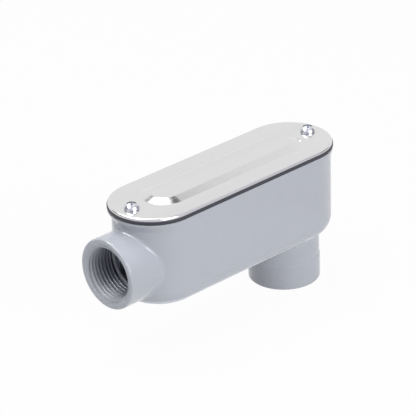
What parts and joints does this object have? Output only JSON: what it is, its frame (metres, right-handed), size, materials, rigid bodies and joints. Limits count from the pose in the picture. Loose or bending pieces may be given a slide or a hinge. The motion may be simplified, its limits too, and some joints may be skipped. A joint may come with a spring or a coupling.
{
  "type": "conduit body",
  "caption": "Back-outlet conduit body: obround cast housing with a threaded inlet hub at one end, a threaded outlet hub at the back, and a screwed gasketed cover.",
  "frame": {"origin": "centre of the back outlet hub's mouth", "axes": "+Z out of the wall behind the fitting, along the back hub's axis towards the cover; X along the housing, with the inlet hub's mouth looking along -X; Y across the housing"},
  "size_m": [0.1343, 0.0412, 0.0709],
  "materials": {
    "painted_casting": "smooth semi-gloss light grey enamel over an aluminium casting",
    "gasket_rubber": "matt black sheet rubber",
    "cover_sheet": "bright stamped aluminium sheet, satin sheen",
    "screw_steel": "bright zinc plated steel"
  },
  "bodies": {
    "root": {"cast_body": "painted_casting", "gasket": "gasket_rubber", "cover": "cover_sheet", "cover_screws": "screw_steel"}
  },
  "joints": []
}
